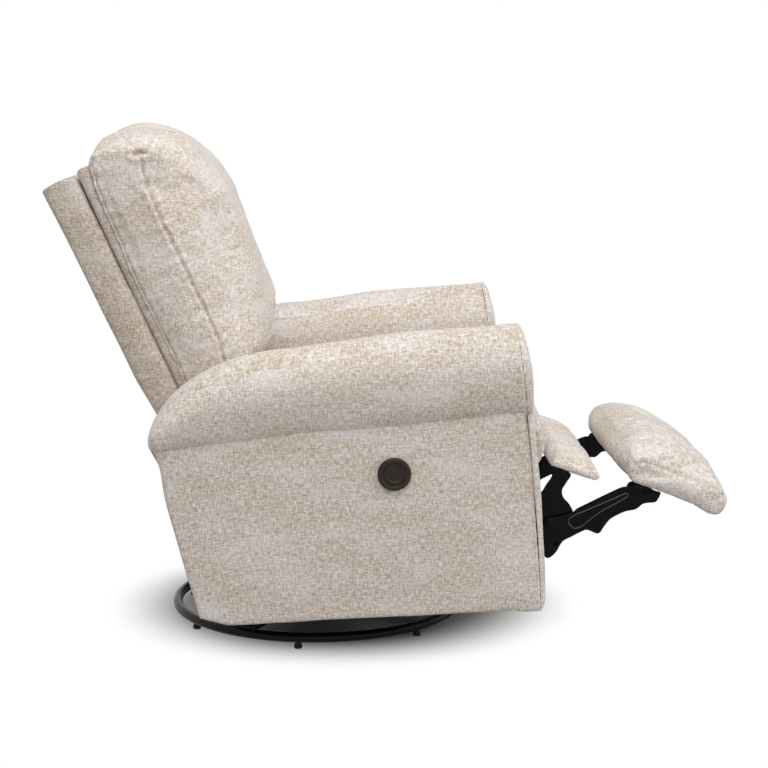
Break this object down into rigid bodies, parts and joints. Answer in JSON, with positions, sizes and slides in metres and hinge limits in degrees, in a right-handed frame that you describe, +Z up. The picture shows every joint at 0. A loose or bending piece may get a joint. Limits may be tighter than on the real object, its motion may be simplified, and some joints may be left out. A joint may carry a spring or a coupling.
{
  "type": "power swivel glider recliner",
  "caption": "Upholstered armchair that swivels and glides on a floor ring, with a powered reclining back and footrest.",
  "frame": {"origin": "on the floor, under the middle of the chair's length and width as it is drawn", "axes": "+X towards the footrest, +Y to the sitter's left, +Z up"},
  "size_m": [1.2948, 0.85, 0.9993],
  "materials": {
    "fabric": "ivory and tan chenille weave",
    "black_steel": "satin black",
    "plywood": "bare plywood",
    "black_plastic": "fine moulded grain",
    "bronze_plastic": "satin dark bronze",
    "spring_steel": "drawn wire"
  },
  "bodies": {
    "base": {"base_ring": "black_steel", "base_cross": "black_steel", "lower_race": "black_steel", "swivel_pin": "black_steel"},
    "swivel": {"upper_race": "black_steel", "swivel_plate": "black_steel", "glide_side_left": "black_steel", "glide_side_right": "black_steel"},
    "glide_front": {"glide_link_front_left": "black_steel", "glide_link_front_right": "black_steel"},
    "glide_rear": {"glide_link_rear_left": "black_steel", "glide_link_rear_right": "black_steel"},
    "chair": {"mech_rail_left": "black_steel", "mech_rail_right": "black_steel", "front_rail": "plywood", "rear_rail": "plywood", "rear_panel": "fabric", "arm_left": "fabric", "arm_right": "fabric", "arm_board_left": "plywood", "arm_board_right": "plywood", "side_panel_left": "fabric", "side_panel_right": "fabric", "arm_facing_left": "fabric", "arm_facing_right": "fabric", "switch_bezel": "bronze_plastic"},
    "switch": {"switch_button": "bronze_plastic"},
    "seat": {"seat_rail_left": "black_steel", "seat_rail_right": "black_steel", "seat_front_board": "plywood", "seat_rear_board": "plywood", "seat_springs": "spring_steel", "seat_cushion": "fabric", "motor_housing": "black_plastic", "power_inlet": "black_plastic", "drive_rail": "black_steel"},
    "drive": {"drive_block": "black_plastic"},
    "leg_drive": {"torque_tube": "black_steel", "drive_link_left": "black_steel", "drive_link_right": "black_steel", "mid_footrest_pad": "fabric"},
    "leg_low": {"low_link_left": "black_steel", "low_link_right": "black_steel"},
    "leg_main": {"main_link_left": "black_steel", "main_link_right": "black_steel"},
    "leg_upper": {"upper_link_left": "black_steel", "upper_link_right": "black_steel"},
    "footrest": {"pad_bracket_left": "black_steel", "pad_bracket_right": "black_steel", "footrest_board": "plywood", "main_footrest_pad": "fabric"},
    "back": {"back_bracket_left": "black_steel", "back_bracket_right": "black_steel", "back_frame": "plywood", "outer_back": "fabric", "inner_back": "fabric", "back_pillow": "fabric"}
  },
  "joints": [
    {"name": "swivel_turn", "type": "hinge", "parent": "base", "child": "swivel", "pos_m": [-0.14427, 0, 0.044], "axis": [0, 0, 1], "continuous": true},
    {"name": "glide_swing", "type": "hinge", "parent": "swivel", "child": "glide_front", "pos_m": [-0.02927, 0, 0.25], "axis": [0, -1, 0], "range_deg": [-16, 16]},
    {"name": "glide_follow", "type": "hinge", "parent": "swivel", "child": "glide_rear", "pos_m": [-0.25927, 0, 0.25], "axis": [0, -1, 0], "range_deg": [-16.5, 16.5]},
    {"name": "glide_level", "type": "hinge", "parent": "glide_front", "child": "chair", "pos_m": [-0.02927, 0, 0.13], "axis": [0, -1, 0], "range_deg": [-16.5, 16.5]},
    {"name": "switch_rock", "type": "hinge", "parent": "chair", "child": "switch", "pos_m": [-0.00527, -0.413, 0.37], "axis": [1, 0, 0], "range_deg": [-5, 5], "stiffness_Nm_per_rad": 0.3},
    {"name": "seat_slide", "type": "slide", "parent": "chair", "child": "seat", "axis": [1, 0, 0], "range_m": [-0.009, 0.0245]},
    {"name": "back_recline", "type": "hinge", "parent": "seat", "child": "back", "pos_m": [-0.30927, 0, 0.35], "axis": [0, -1, 0], "range_deg": [-10, 28]},
    {"name": "footrest_open", "type": "hinge", "parent": "seat", "child": "leg_drive", "pos_m": [0.16473, 0, 0.326], "axis": [0, -1, 0], "range_deg": [-82, 0]},
    {"name": "leg_low_turn", "type": "hinge", "parent": "seat", "child": "leg_low", "pos_m": [0.17673, 0, 0.27], "axis": [0, -1, 0], "range_deg": [-88.5, 0.5]},
    {"name": "leg_main_turn", "type": "hinge", "parent": "leg_drive", "child": "leg_main", "pos_m": [0.32273, 0, 0.227], "axis": [0, -1, 0], "range_deg": [-0.5, 103.5]},
    {"name": "leg_upper_turn", "type": "hinge", "parent": "leg_drive", "child": "leg_upper", "pos_m": [0.29973, 0, 0.24], "axis": [0, -1, 0], "range_deg": [-0.5, 103.5]},
    {"name": "footrest_tilt", "type": "hinge", "parent": "leg_main", "child": "footrest", "pos_m": [0.49673, 0, 0.287], "axis": [0, -1, 0], "range_deg": [-94, 0.5]},
    {"name": "drive_push", "type": "slide", "parent": "seat", "child": "drive", "axis": [1, 0, 0], "range_m": [-0.0595, 0.0005]}
  ],
  "couplings": [
    {"joint": "glide_follow", "follows": "glide_swing", "ratio": 1},
    {"joint": "glide_level", "follows": "glide_swing", "ratio": -1},
    {"joint": "seat_slide", "follows": "back_recline", "m_per_rad": 0.0491},
    {"joint": "leg_low_turn", "follows": "footrest_open", "ratio": 1.074},
    {"joint": "leg_main_turn", "follows": "footrest_open", "ratio": -1.256},
    {"joint": "leg_upper_turn", "follows": "footrest_open", "ratio": -1.254},
    {"joint": "footrest_tilt", "follows": "footrest_open", "ratio": 1.137},
    {"joint": "drive_push", "follows": "footrest_open", "m_per_rad": 0.0412}
  ]
}
